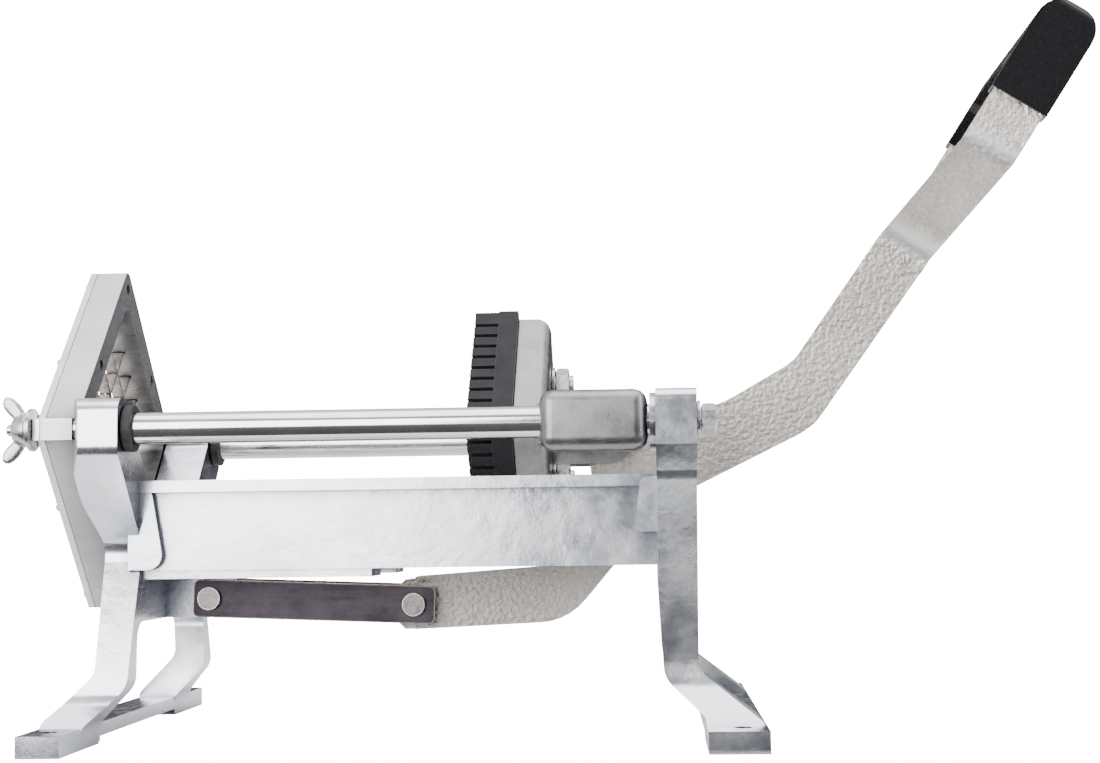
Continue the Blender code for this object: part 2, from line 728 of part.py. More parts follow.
def handle_loop(name, grow, start, look="lever"):
    """The looped handle, made larger by grow on every face, from s = start to its end."""
    half, thick = HANDLE_HALF_Y + grow, 9.0 + 2 * grow
    end = HANDLE_END_S + grow
    root = LEVER_HALF + grow
    if start > FLARE_S:
        outline = [(start, half), (start, -half), (end, -half, HANDLE_CORNER), (end, half, HANDLE_CORNER)]
        window = [(start - 5, half - thick), (start - 5, thick - half)]
    else:
        outline = [
            (start, root),
            (start, -root),
            (CREASE_S, -root, 15),
            (FLARE_S, -half, 15),
            (end, -half, HANDLE_CORNER),
            (end, half, HANDLE_CORNER),
            (FLARE_S, half, 15),
            (CREASE_S, root, 15),
        ]
        neck = CREASE_S + 14.0
        window = [(FLARE_S - 4, half - thick, 8), (neck, 4, 3), (neck, -4, 3), (FLARE_S - 4, thick - half, 8)]
    bar = end - 23.0 - 2 * grow
    window += [(bar, thick - half, 6), (bar, half - thick, 6)]
    loop = plate(name, [rounded(outline)], -12, 36, loop_frame(), look)
    cut(loop, plate(name + "_window", [rounded(window)], -14, 38, loop_frame()))
    radius = HANDLE_WIDTH / 2 + grow
    cap = arc((end - radius, HANDLE_MID_N), radius, 90, -90, 14)
    if start > FLARE_S:
        side = [(start - 4, HANDLE_MID_N + radius), *cap, (start - 4, HANDLE_MID_N - radius)]
    else:
        side = [
            (start - 4, ARM_WIDTH + grow),
            (CREASE_S, ARM_WIDTH + grow),
            (FLARE_S, HANDLE_MID_N + radius),
            *cap,
            (FLARE_S, HANDLE_MID_N - radius),
            (CREASE_S, -grow),
            (start - 4, -grow),
        ]
    reach = HANDLE_HALF_Y + 8
    return boolean(loop, plate(name + "_side", [side], -reach, reach, arm_frame()), "INTERSECT")


def lever_arm():
    pivot_x, pivot_z = LEVER_PIVOT
    end_x, end_z = LEVER_END
    c, s = math.cos(ARM_ANGLE), math.sin(ARM_ANGLE)
    join = CREASE_S - 2.0
    lower_end = (ARM_ORIGIN[0] + join * c, ARM_ORIGIN[1] + join * s)
    upper_end = (lower_end[0] - ARM_WIDTH * s, lower_end[1] + ARM_WIDTH * c)
    outline = [
        (end_x, 41.8),
        (2.0, 44.6, 26),
        (27.0, 74.0, 20),
        (44.0, 95.0, 18),
        (60.0, 102.4, 12),
        (107.5, 125.5, 24),
        lower_end,
        upper_end,
        (100.0, 153.8, 24),
        (66.0, 134.4, 40),
        (pivot_x + 3.0, pivot_z + 10.6, 4),
        *arc(LEVER_PIVOT, 10.5, 90, 205, 8),
        (14.5, 92.0, 12),
        (6.0, 71.0, 12),
        (-6.0, 68.0, 16),
        (end_x, 64.2),
    ]
    arm = plate("lever_arm", [rounded(outline)], -LEVER_HALF, LEVER_HALF, "XZ", "lever")
    boss = rod("lever_end_boss", "Y", LEVER_END, (-LEVER_HALF, LEVER_HALF), 11.4, segments=8)
    add(arm, boss, handle_loop("handle_loop", 0.0, CREASE_S - 6.0))
    cut(
        arm,
        rod("lever_pivot_bore", "Y", LEVER_PIVOT, (-30, 30), 6.4),
        rod("lever_end_bore", "Y", LEVER_END, (-30, 30), 4.4),
    )
    return origin_to(arm, (pivot_x, 0, pivot_z))


def handle_grip():
    grip = handle_loop("handle_grip", GAP + GRIP_THICK, GRIP_S, "grip")
    return cut(grip, handle_loop("grip_hollow", GAP, GRIP_S - 8))


def link(label, side):
    """A flat bar from the frame lug to the lever's end."""
    front, rear = Vector(FRAME_LUG), Vector(LEVER_END)
    length = (rear - front).length
    run = (rear - front).normalized()
    place = Matrix(
        ((run.x, -run.y, 0, front.x), (0, 0, -1, 0), (run.y, run.x, 0, front.y), (0, 0, 0, 1))
    )
    outline = [(-7, -8, 2.5), (length + 9, -8, 2.5), (length + 9, 8, 2.5), (-7, 8, 2.5)]
    low, high = side_span(-side, LINK_Y)
    bar = plate(f"link_{label}", [rounded(outline, 3)], low, high, place, "dark")
    span = side_span(side, (LINK_Y[0] - 3, LINK_Y[1] + 3))
    cut(bar, rod(f"link_front_bore_{label}", "Y", FRAME_LUG, span, 4.4))
    cut(bar, rod(f"link_rear_bore_{label}", "Y", LEVER_END, span, 4.4))
    return origin_to(bar, (front.x, 0, front.y))


def link_rivet(label, side):
    """The stub in a link's rear eye, which stops short of the lever."""
    head = rod(f"link_rivet_{label}", "Y", LEVER_END, side_span(side, (LINK_Y[1] + GAP, 18.2)), 4.9, "dark")
    stub = rod(f"rivet_stub_{label}", "Y", LEVER_END, side_span(side, (LINK_Y[0] + 0.2, 17)), 4.1)
    return add(head, stub)


def linkage_pins():
    front = rod("link_front_pin", "Y", FRAME_LUG, (-LINK_Y[1] - 1.4, LINK_Y[1] + 3.6), 4.1, "dark")
    add(front, rod("front_pin_head", "Y", FRAME_LUG, (-LINK_Y[1] - 2.2, -LINK_Y[1] - GAP), 4.9))
    ring("front_pin_clip", FRAME_LUG, (LINK_Y[1] + GAP, LINK_Y[1] + 1.8), 4.4, 7.0, "zinc", "Y")
    rod("lever_end_pin", "Y", LEVER_END, (-LEVER_HALF + 0.1, LEVER_HALF - 0.1), 4.1, "dark")
    ring("lever_bush", LEVER_PIVOT, (-LEVER_HALF, LEVER_HALF), 4.3, 6.1, "bronze", "Y")
    bolt = rod("pivot_bolt", "Y", LEVER_PIVOT, (-EAR_Y[1] - 5.2, -EAR_Y[1] - GAP), 6.8, "zinc", 6)
    add(bolt, rod("pivot_bolt_shank", "Y", LEVER_PIVOT, (-EAR_Y[1] - 2, EAR_Y[1] + 8.5), 4.0))
    ring("pivot_nut", LEVER_PIVOT, (EAR_Y[1] + GAP, EAR_Y[1] + 6.8), 4.3, 7.3, "zinc", "Y", 6)


# ---------------------------------------------------------------- assembly


def build():
    body_casting()
    for label, side in SIDES:
        centre = (side * ROD_Y, AXIS_Z)
        guide_rod(label, side)
        rod_bolt(label, side)
        ring(f"rod_washer_{label}", centre, (56.7, 57.9), THREAD_R + GAP, 7.4, "zinc")
        ring(f"rod_bumper_{label}", centre, (-170.2, -166.4), ROD_R + GAP, 9.4, "rubber")
        ring(f"sleeve_bush_{label}", centre, (-4.6, 36.9), ROD_R + GAP, 8.0, "bronze", segments=32)
        ring(f"wing_washer_{label}", centre, (-209.0, -207.4), THREAD_R + GAP, 8.6, "zinc")
        wing_nut(label, side)
        link(label, side)
        link_rivet(label, side)
    blade_frame()
    clamp_plate()
    list(blade_strips())
    for place in screw_places():
        blade_screw(*place)
    pusher_block()
    pusher_head()
    pusher_fasteners()
    lever_arm()
    handle_grip()
    linkage_pins()
    for obj in (*DICER.objects, *CUTTERS.objects):
        obj.location.x += CENTRE_SHIFT * MM
    for obj in DICER.objects:
        obj.data.shade_smooth()
        obj.data.set_sharp_from_angle(angle=SMOOTH_ANGLE)


build()
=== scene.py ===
"""Looks of the vegetable dicer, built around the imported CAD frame. Lengths are in metres."""

import math

import bmesh
import bpy
from mathutils import Matrix, Vector


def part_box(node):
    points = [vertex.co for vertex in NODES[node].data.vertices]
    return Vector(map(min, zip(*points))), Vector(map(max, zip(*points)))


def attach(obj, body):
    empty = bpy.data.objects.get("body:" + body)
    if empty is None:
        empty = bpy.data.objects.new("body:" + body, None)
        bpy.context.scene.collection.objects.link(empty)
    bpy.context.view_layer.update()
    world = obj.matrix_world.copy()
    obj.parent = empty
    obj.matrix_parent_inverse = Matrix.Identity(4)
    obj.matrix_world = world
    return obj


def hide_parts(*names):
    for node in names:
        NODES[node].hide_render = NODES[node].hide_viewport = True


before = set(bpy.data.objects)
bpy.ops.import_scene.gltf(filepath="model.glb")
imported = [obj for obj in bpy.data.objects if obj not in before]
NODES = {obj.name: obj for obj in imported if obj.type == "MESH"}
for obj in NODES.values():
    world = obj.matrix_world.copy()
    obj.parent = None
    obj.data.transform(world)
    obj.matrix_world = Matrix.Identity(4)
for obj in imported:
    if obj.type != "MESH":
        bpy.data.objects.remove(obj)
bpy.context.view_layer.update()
MM = 0.001
SIDES = (("near", -1), ("far", 1))

AXIS_Z = 0.1255  # height of the guide rods
ROD_Y = 0.074
CENTRE_SHIFT = 0.374 * MM  # how far the CAD moved everything along X to centre it
SHARP = math.radians(30)  # an edge of a piece made here that turns more than this is rolled
CAD_SHARP = math.radians(32)  # the same for the CAD's faceted curves
FLAT = math.radians(0.8)  # faces that turn less than this are joined into one

# The arm's upper run, as the CAD draws it: where it starts, its slope and the two creases along it
ARM_START = Vector((0.1285 + CENTRE_SHIFT, 0.0, 0.1496))
ARM_ANGLE = math.radians(57.14)
CREASES = (0.0575, 0.0985)

# Camera: where it stands, which way it looks and how far it is rolled
CAMERA_AT = Vector((0.0377 + CENTRE_SHIFT, -0.794, 0.081))
CAMERA_YAW = math.radians(-3.071)
CAMERA_PITCH = math.radians(4.787)
CAMERA_ROLL = math.radians(0.75)
CAMERA_LENS = 60.06
BACKDROP_GLOW = 18.0  # enough for the view transform to show the paper as white


# ---------------------------------------------------------------- node helpers


class Look:
    """A Principled material and short calls for the nodes that feed it."""

    def __init__(self, name, metallic=0.0, roughness=0.5, colour=(0.5, 0.5, 0.5), **sockets):
        self.material = bpy.data.materials.new(name)
        self.material.use_nodes = True
        self.tree = self.material.node_tree
        self.shader = self.tree.nodes["Principled BSDF"]
        self.shader.inputs["Base Color"].default_value = (*colour, 1)
        self.shader.inputs["Metallic"].default_value = metallic
        self.shader.inputs["Roughness"].default_value = roughness
        for socket, value in sockets.items():
            self.shader.inputs[socket.replace("_", " ")].default_value = value
        self.place = self.tree.nodes.new("ShaderNodeTexCoord").outputs["Object"]

    def node(self, kind, **values):
        made = self.tree.nodes.new(kind)
        for name, value in values.items():
            setattr(made, name, value)
        return made

    def link(self, output, target):
        self.tree.links.new(output, target)

    def stretched(self, scale):
        mapping = self.node("ShaderNodeMapping")
        mapping.inputs["Scale"].default_value = scale
        self.link(self.place, mapping.inputs["Vector"])
        return mapping.outputs["Vector"]

    def noise(self, scale, detail=3.0, roughness=0.5, place=None):
        made = self.node("ShaderNodeTexNoise")
        made.inputs["Scale"].default_value = scale
        made.inputs["Detail"].default_value = detail
        made.inputs["Roughness"].default_value = roughness
        self.link(place or self.place, made.inputs["Vector"])
        return made.outputs["Fac"]

    def cells(self, scale, feature="F1"):
        made = self.node("ShaderNodeTexVoronoi", feature=feature)
        made.inputs["Scale"].default_value = scale
        self.link(self.place, made.inputs["Vector"])
        return made.outputs["Distance"]

    def ramp(self, value, *stops):
        made = self.node("ShaderNodeValToRGB")
        points = made.color_ramp.elements
        while len(points) < len(stops):
            points.new(0.5)
        for point, (at, colour) in zip(points, stops):
            point.position = at
            point.color = (*colour, 1) if len(colour) == 3 else colour
        self.link(value, made.inputs["Fac"])
        return made.outputs["Color"]

    def spread(self, value, low, high, start=0.3, end=0.7):
        made = self.node("ShaderNodeMapRange")
        made.inputs["From Min"].default_value = start
        made.inputs["From Max"].default_value = end
        made.inputs["To Min"].default_value = low
        made.inputs["To Max"].default_value = high
        self.link(value, made.inputs["Value"])
        return made.outputs["Result"]

    def sum(self, a, b, share):
        """a plus share times b."""
        made = self.node("ShaderNodeMath", operation="MULTIPLY_ADD")
        self.link(b, made.inputs[0])
        made.inputs[1].default_value = share
        self.link(a, made.inputs[2])
        return made.outputs["Value"]

    def times(self, a, b):
        made = self.node("ShaderNodeMath", operation="MULTIPLY")
        self.link(a, made.inputs[0])
        self.link(b, made.inputs[1])
        return made.outputs["Value"]

    def mix(self, share, a, b):
        made = self.node("ShaderNodeMix", data_type="RGBA")
        self.link(share, made.inputs["Factor"])
        for value, socket in ((a, made.inputs[6]), (b, made.inputs[7])):
            if isinstance(value, tuple):
                socket.default_value = (*value, 1)
            else:
                self.link(value, socket)
        return made.outputs[2]

    def edges(self, reach):
        """0 on flat ground, rising to 1 on an edge within reach of it."""
        bevel = self.node("ShaderNodeBevel", samples=4)
        bevel.inputs["Radius"].default_value = reach
        normal = self.node("ShaderNodeNewGeometry").outputs["Normal"]
        dot = self.node("ShaderNodeVectorMath", operation="DOT_PRODUCT")
        self.link(bevel.outputs["Normal"], dot.inputs[0])
        self.link(normal, dot.inputs[1])
        return self.spread(dot.outputs["Value"], 1.0, 0.0, 0.90, 0.998)

    def painted_crevice_shade(self, reach, low=0.35, high=0.9):
        """Painted shade mask: 0 in the open, rising to 1 in corners and under neighbours within reach."""
        shade = self.node("ShaderNodeAmbientOcclusion", samples=4)
        shade.inputs["Distance"].default_value = reach
        return self.spread(shade.outputs["AO"], 1.0, 0.0, low, high)

    def colour(self, output):
        self.link(output, self.shader.inputs["Base Color"])
        return self

    def rough(self, output):
        self.link(output, self.shader.inputs["Roughness"])
        return self

    def bump(self, height, distance, strength=1.0):
        made = self.node("ShaderNodeBump")
        made.inputs["Strength"].default_value = strength
        made.inputs["Distance"].default_value = distance
        self.link(height, made.inputs["Height"])
        self.link(made.outputs["Normal"], self.shader.inputs["Normal"])
        return self


# ---------------------------------------------------------------- materials


def polished_casting():
    """Hand-polished cast aluminium: bright, with cloudy patches and slow waves, and painted blue-grey shade
    in its corners and fillets.
    """
    look = Look("polished_casting", metallic=1.0)
    clouds = look.noise(38, 4, 0.6)
    patches = look.noise(160, 3, 0.55)
    cloudy = look.sum(clouds, patches, 0.35)
    bare_tone = look.ramp(
        cloudy, (0.45, (0.66, 0.68, 0.745)), (0.62, (0.81, 0.825, 0.865)), (0.8, (0.91, 0.915, 0.93))
    )
    # Painted shade: corners and concave fillets are darkened towards blue-grey in place of their shade and
    # dim reflections.
    look.colour(look.mix(look.painted_crevice_shade(0.014), bare_tone, (0.20, 0.21, 0.27)))
    look.rough(look.spread(cloudy, 0.14, 0.30, 0.45, 0.85))
    waves = look.noise(70, 2, 0.4)
    ripples = look.noise(330, 3, 0.6)
    return look.bump(look.sum(waves, ripples, 0.30), 0.0006, 0.35).material


def satin_casting():
    """The pusher's casting, ground but less polished than the frame."""
    look = Look("satin_casting", metallic=1.0)
    clouds = look.noise(90, 5, 0.6)
    look.colour(look.ramp(clouds, (0.35, (0.23, 0.23, 0.235)), (0.65, (0.33, 0.33, 0.335))))
    look.rough(look.spread(clouds, 0.24, 0.42))
    scratches = look.noise(500, 2, 0.5, look.stretched((1, 1, 12)))
    return look.bump(look.sum(clouds, scratches, 0.25), 0.0005, 0.4).material


def machined_plate():
    """The blade holder's brushed aluminium, with fine lines along X and painted shade, near black, in its
    corners and hollows.
    """
    look = Look("machined_plate", metallic=1.0)
    lines = look.noise(900, 3, 0.6, look.stretched((0.03, 1, 1)))
    clouds = look.noise(45, 3, 0.5)
    bare_tone = look.ramp(look.sum(clouds, lines, 0.3), (0.4, (0.58, 0.58, 0.59)), (0.9, (0.76, 0.76, 0.76)))
    # Painted shade: within 5 cm of neighbouring faces the plate is darkened towards near black.
    look.colour(look.mix(look.painted_crevice_shade(0.05, 0.45, 0.98), bare_tone, (0.06, 0.06, 0.065)))
    look.rough(look.spread(lines, 0.26, 0.42))
    return look.bump(lines, 0.0002, 0.35).material


def clamp_plate():
    """The front clamp plate, in warmer bare metal than the holder."""
    look = Look("clamp_plate_metal", metallic=1.0)
    clouds = look.noise(60, 4, 0.6)
    look.colour(look.ramp(clouds, (0.35, (0.74, 0.71, 0.66)), (0.65, (0.88, 0.86, 0.82))))
    look.rough(look.spread(clouds, 0.22, 0.38))
    return look.bump(look.noise(1800, 2, 0.6), 0.0001, 0.3).material


def ground_rod():
    """Ground and polished round bar, with faint rings from the grinding wheel."""
    look = Look("ground_rod", metallic=1.0)
    rings = look.noise(2400, 2, 0.6, look.stretched((1, 0.02, 0.02)))
    haze = look.noise(35, 4, 0.6)
    look.colour(look.ramp(haze, (0.35, (0.80, 0.77, 0.72)), (0.65, (0.90, 0.88, 0.85))))
    look.rough(look.spread(look.sum(haze, rings, 0.4), 0.06, 0.15, 0.4, 1.0))
    return look.bump(rings, 0.00003, 0.4).material


def blade_steel():
    """Thin stainless strip with brownish, worn edges."""
    look = Look("blade_steel", metallic=1.0)
    stain = look.noise(220, 4, 0.6)
    bare_tone = look.ramp(stain, (0.35, (0.26, 0.24, 0.22)), (0.65, (0.52, 0.50, 0.48)))
    look.colour(look.mix(look.edges(0.0006), bare_tone, (0.10, 0.065, 0.045)))
    look.rough(look.spread(stain, 0.14, 0.30))
    return look.bump(look.noise(1500, 2, 0.5), 0.0001, 0.3).material


def zinc():
    """Zinc-plated steel: blue-grey, slightly uneven, bright on its edges."""
    look = Look("zinc_plate", metallic=1.0)
    cloud = look.noise(260, 5, 0.65)
    plain = look.ramp(cloud, (0.35, (0.46, 0.46, 0.47)), (0.65, (0.68, 0.68, 0.69)))
    look.colour(look.mix(look.edges(0.0005), plain, (0.88, 0.88, 0.87)))
    look.rough(look.spread(cloud, 0.20, 0.36))
    return look.bump(look.noise(1400, 3, 0.6), 0.00012, 0.4).material


def sand_casting():
    """The lever: pebbled sand-cast alloy, ground smooth across the creases of its handle, where a painted
    highlight makes them near white.
    """
    look = Look("sand_casting", metallic=1.0)
    along = look.node("ShaderNodeVectorMath", operation="DOT_PRODUCT")
    direction = Vector((math.cos(ARM_ANGLE), 0, math.sin(ARM_ANGLE)))
    look.link(look.place, along.inputs[0])
    along.inputs[1].default_value = direction
    run = along.outputs["Value"]
    start = ARM_START.dot(direction)
    wander = look.noise(140, 2, 0.5)
    crease = None
    for at in CREASES:
        offset = look.node("ShaderNodeMath", operation="SUBTRACT")
        look.link(look.sum(run, wander, 0.006), offset.inputs[0])
        offset.inputs[1].default_value = start + at + 0.003
        size = look.node("ShaderNodeMath", operation="ABSOLUTE")
        look.link(offset.outputs["Value"], size.inputs[0])
        band = look.spread(size.outputs["Value"], 1.0, 0.0, 0.0022, 0.0075)
        crease = band if crease is None else look.sum(crease, band, 1.0)
    crumbs = look.noise(620, 3, 0.55)
    pebbles = look.cells(520, "SMOOTH_F1")
    grain = look.sum(crumbs, pebbles, -0.8)
    tone = look.ramp(
        look.sum(look.noise(26, 3, 0.5), crumbs, 0.5),
        (0.55, (0.62, 0.57, 0.505)),
        (0.78, (0.79, 0.74, 0.67)),
        (0.95, (0.93, 0.89, 0.82)),
    )
    # Painted shade: the lower arm is painted darker than the handle, more so towards the bottom.
    height = look.node("ShaderNodeSeparateXYZ")
    look.link(look.place, height.inputs[0])
    lower = look.spread(height.outputs["Z"], 1.0, 0.0, 0.06, 0.20)
    tone = look.mix(look.sum(lower, look.noise(60, 2, 0.5), 0.15), tone, (0.44, 0.41, 0.375))
    # Painted highlight: the creases are painted near white.
    look.colour(look.mix(crease, tone, (0.98, 0.96, 0.93)))
    look.rough(look.spread(crease, 0.50, 0.42, 0.0, 1.0))
    rest = look.node("ShaderNodeMath", operation="SUBTRACT", use_clamp=True)
    rest.inputs[0].default_value = 1.0
    look.link(crease, rest.inputs[1])
    keep = look.spread(rest.outputs["Value"], 0.12, 1.0, 0.0, 1.0)
    return look.bump(look.times(grain, keep), 0.0011, 0.75).material


def black_vinyl():
    """Dipped vinyl: deep black, glossy, with slow sags."""
    look = Look("black_vinyl", roughness=0.16, Coat_Weight=0.25, Coat_Roughness=0.06)
    dust = look.noise(900, 3, 0.6)
    look.colour(look.ramp(dust, (0.4, (0.004, 0.004, 0.0045)), (0.8, (0.009, 0.009, 0.010))))
    look.rough(look.spread(dust, 0.12, 0.24))
    return look.bump(look.sum(look.noise(55, 2, 0.5), dust, 0.02), 0.0008, 0.25).material


def black_rubber():
    look = Look("black_rubber", roughness=0.6)
    dust = look.noise(1200, 3, 0.6)
    look.colour(look.ramp(dust, (0.4, (0.012, 0.012, 0.013)), (0.8, (0.035, 0.034, 0.034))))
    look.rough(look.spread(dust, 0.5, 0.75))
    return look.bump(dust, 0.0002, 0.5).material


def charcoal_plastic():
    """Moulded plastic with a fine spark-eroded grain and paler edges."""
    look = Look("charcoal_plastic", roughness=0.45, Specular_IOR_Level=0.14)
    cloud = look.noise(120, 4, 0.6)
    plain = look.ramp(cloud, (0.35, (0.012, 0.0115, 0.0135)), (0.7, (0.020, 0.019, 0.022)))
    look.colour(look.mix(look.edges(0.0004), plain, (0.05, 0.048, 0.054)))
    look.rough(look.spread(look.noise(1500, 2, 0.5), 0.34, 0.52))
    return look.bump(look.noise(2600, 2, 0.6), 0.00012, 0.5).material


def blued_steel():
    """Dark blued bar with brown, rubbed edges."""
    look = Look("blued_steel", metallic=1.0)
    cloud = look.noise(70, 5, 0.65)
    drawn = look.noise(260, 3, 0.6, look.stretched((0.12, 1, 1)))
    plain = look.ramp(
        look.sum(cloud, drawn, 0.3), (0.5, (0.032, 0.027, 0.033)), (0.85, (0.075, 0.064, 0.075))
    )
    look.colour(look.mix(look.edges(0.0009), plain, (0.42, 0.33, 0.26)))
    look.rough(look.spread(cloud, 0.28, 0.46))
    return look.bump(look.sum(drawn, cloud, 0.5), 0.0002, 0.4).material


def rubbed_pin():
    """Pin and rivet heads: dark in the middle, bright where they are rubbed."""
    look = Look("rubbed_pin", metallic=1.0)
    cloud = look.noise(300, 4, 0.6)
    plain = look.ramp(cloud, (0.35, (0.16, 0.14, 0.14)), (0.7, (0.34, 0.30, 0.29)))
    look.colour(look.mix(look.edges(0.0010), plain, (0.80, 0.77, 0.73)))
    look.rough(look.spread(cloud, 0.22, 0.38))
    return look.bump(look.noise(900, 2, 0.5), 0.0001, 0.4).material


def bronze():
    look = Look("sintered_bronze", metallic=1.0)
    grains = look.cells(1600)
    look.colour(look.ramp(look.noise(150, 4, 0.6), (0.35, (0.42, 0.28, 0.16)), (0.7, (0.62, 0.45, 0.28))))
    look.rough(look.spread(grains, 0.34, 0.52, 0.0, 0.6))
    return look.bump(grains, 0.0001, 0.4).material


LOOKS = {
    "casting": polished_casting(),
    "satin": satin_casting(),
    "holder": machined_plate(),
    "clamp": clamp_plate(),
    "rod": ground_rod(),
    "blade": blade_steel(),
    "zinc": zinc(),
    "lever": sand_casting(),
    "vinyl": black_vinyl(),
    "rubber": black_rubber(),
    "plastic": charcoal_plastic(),
    "blued": blued_steel(),
    "pin": rubbed_pin(),
    "bronze": bronze(),
}


# ---------------------------------------------------------------- carried-over CAD nodes


def smooth_faces():
    """A node group that shades every face smooth."""
    group = bpy.data.node_groups.new("smooth_faces", "GeometryNodeTree")
    group.interface.new_socket("Geometry", in_out="INPUT", socket_type="NodeSocketGeometry")
    group.interface.new_socket("Geometry", in_out="OUTPUT", socket_type="NodeSocketGeometry")
    start, end = group.nodes.new("NodeGroupInput"), group.nodes.new("NodeGroupOutput")
    shade = group.nodes.new("GeometryNodeSetShadeSmooth")
    group.links.new(start.outputs[0], shade.inputs["Geometry"])
    group.links.new(shade.outputs["Geometry"], end.inputs[0])
    return group


SMOOTH_FACES = smooth_faces()


def dress(node, look, edge, segments):
    """Gives a CAD node its material and rolls its edges by edge millimetres."""
    shown = NODES[node]
    shown.data.materials.clear()
    shown.data.materials.append(LOOKS[look])
    weld = shown.modifiers.new("weld", "WELD")
    weld.merge_threshold = 1e-6
    flat = shown.modifiers.new("flat", "DECIMATE")
    flat.decimate_type = "DISSOLVE"
    flat.angle_limit = FLAT
    shown.modifiers.new("smooth", "NODES").node_group = SMOOTH_FACES
    bevel = shown.modifiers.new("edges", "BEVEL")
    bevel.width = edge * MM
    bevel.segments = segments
    bevel.limit_method = "ANGLE"
    bevel.angle_limit = CAD_SHARP
    even = shown.modifiers.new("even_normals", "WEIGHTED_NORMAL")
    even.keep_sharp = True


# Node: its look, how far its edges are rolled in millimetres, and in how many steps
PLAIN_DRESS = {
    "body_casting": ("casting", 0.9, 3),
    "blade_frame": ("holder", 0.35, 2),
    "blade_clamp_plate": ("clamp", 0.3, 2),
    "pusher_head": ("satin", 0.8, 3),
    "lever_arm": ("lever", 1.6, 4),
    "handle_grip": ("vinyl", 3.2, 5),
    "link_near": ("blued", 0.5, 2),
    "link_far": ("blued", 0.5, 2),
    "link_rivet_near": ("pin", 0.4, 2),
    "link_rivet_far": ("pin", 0.4, 2),
    "link_front_pin": ("pin", 0.4, 2),
    "front_pin_clip": ("zinc", 0.2, 2),
    "lever_end_pin": ("pin", 0.2, 2),
    "lever_bush": ("bronze", 0.2, 2),
    "pivot_bolt": ("zinc", 0.5, 2),
    "pivot_nut": ("zinc", 0.5, 2),
}


# The same for nodes that come in sets, by how their names start
SET_DRESS = (
    (("blade_rising", "blade_falling"), ("blade", 0.12, 1)),
    (("blade_screw", "pusher_washer", "rod_washer", "wing_washer"), ("zinc", 0.2, 2)),
    (("pusher_bolt",), ("zinc", 0.5, 2)),
    (("rod_bumper",), ("rubber", 0.5, 2)),
    (("sleeve_bush",), ("bronze", 0.2, 2)),
)


def dress_all():
    """Dresses every CAD node that no piece below replaces."""
    for node, how in PLAIN_DRESS.items():
        dress(node, *how)
    for node in NODES:
        for starts, how in SET_DRESS:
            if node.startswith(starts):
                dress(node, *how)


# ---------------------------------------------------------------- pieces made here


def mesh_object(name, bm, look=None):
    mesh = bpy.data.meshes.new(name)
    bm.to_mesh(mesh)
    bm.free()
    made = bpy.data.objects.new(name, mesh)
    bpy.context.scene.collection.objects.link(made)
    if look:
        mesh.materials.append(LOOKS[look])
    return made


def applied(made):
    """Bakes an object's modifiers into its mesh."""
    bpy.context.view_layer.update()
    mesh = bpy.data.meshes.new_from_object(made.evaluated_get(bpy.context.evaluated_depsgraph_get()))
    made.modifiers.clear()
    made.data = mesh
    return made


def boolean(target, tool, operation):
    """Joins tool to target, or cuts target with it, and removes tool."""
    step = target.modifiers.new(operation.lower(), "BOOLEAN")
    step.operation = operation
    step.object = tool
    step.solver = "EXACT"
    applied(target)
    bpy.data.objects.remove(tool)
    return target


def finish_piece(made, node, body, angle=35):
    """Shades a piece smooth below angle degrees and puts it in the place of a CAD node."""
    made.data.shade_smooth()
    made.data.set_sharp_from_angle(angle=math.radians(angle))
    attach(made, body)
    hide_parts(node)
    return made


def soften(made, width):
    """Rolls a piece's edges by width millimetres."""
    step = made.modifiers.new("edges", "BEVEL")
    step.width = width * MM
    step.segments = 2
    step.limit_method = "ANGLE"
    step.angle_limit = SHARP
    step.harden_normals = True


def turned(name, profile, centre, look, segments=96):
    """A profile of (x, radius) pairs in metres, spun about the X line through centre (y, z)."""
    bm = bmesh.new()
    y, z = centre
    angles = [2 * math.pi * step / segments for step in range(segments)]
    rings = []
    for x, radius in profile:
        rings.append([bm.verts.new((x, y + radius * math.cos(a), z + radius * math.sin(a))) for a in angles])
    for low, high in zip(rings, rings[1:]):
        for step in range(segments):
            after = (step + 1) % segments
            bm.faces.new((low[step], low[after], high[after], high[step]))
    if profile[0] == profile[-1]:
        # A profile that closes on itself leaves a bore, so its first and last rings are one.
        bmesh.ops.remove_doubles(bm, verts=bm.verts, dist=1e-7)
    else:
        bm.faces.new(rings[0])
        bm.faces.new(rings[-1])
    bmesh.ops.recalc_face_normals(bm, faces=bm.faces)
    return mesh_object(name, bm, look)


def guide_rod(label, side):
    """A ground rod with a shoulder at its spigot and a threaded stud in front of it."""
    node = f"guide_rod_{label}"
    low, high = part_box(node)
    centre = (side * ROD_Y, AXIS_Z)
    thread_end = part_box(f"wing_washer_{label}")[1][0] + 17.0 * MM
    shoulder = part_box(f"rod_bumper_{label}")[0][0]
    shaft, spigot = (high[2] - low[2]) / 2, 4.7 * MM
    core, crest, pitch = 2.08 * MM, 2.5 * MM, 0.8 * MM
    tapped, tapped_depth = crest + 0.3 * MM, 14.0 * MM  # the hole for the rear bolt
    profile = [(low[0], core - 0.5 * MM), (low[0] + 0.5 * MM, core)]
    turns = int((thread_end - low[0] - 1.2 * MM) / pitch)
    for turn in range(turns):
        start = low[0] + 0.6 * MM + turn * pitch
        profile += [
            (start + 0.1 * pitch, core),
            (start + 0.42 * pitch, crest),
            (start + 0.58 * pitch, crest),
            (start + 0.9 * pitch, core),
        ]
    profile += [
        (thread_end - 0.2 * MM, crest),
        (thread_end, crest),
        (thread_end + 0.1 * MM, spigot),
        (shoulder, spigot),
        (shoulder + 0.05 * MM, shaft - 0.6 * MM),
        (shoulder + 0.6 * MM, shaft),
        (high[0] - 0.8 * MM, shaft),
        (high[0], shaft - 0.8 * MM),
        (high[0], tapped),
        (high[0] - tapped_depth, tapped),
        (high[0] - tapped_depth - 1.0 * MM, 0.1 * MM),
    ]
    rod = turned(f"turned_rod_{label}", profile, centre, "rod")
    finish_piece(rod, node, "frame", 25)


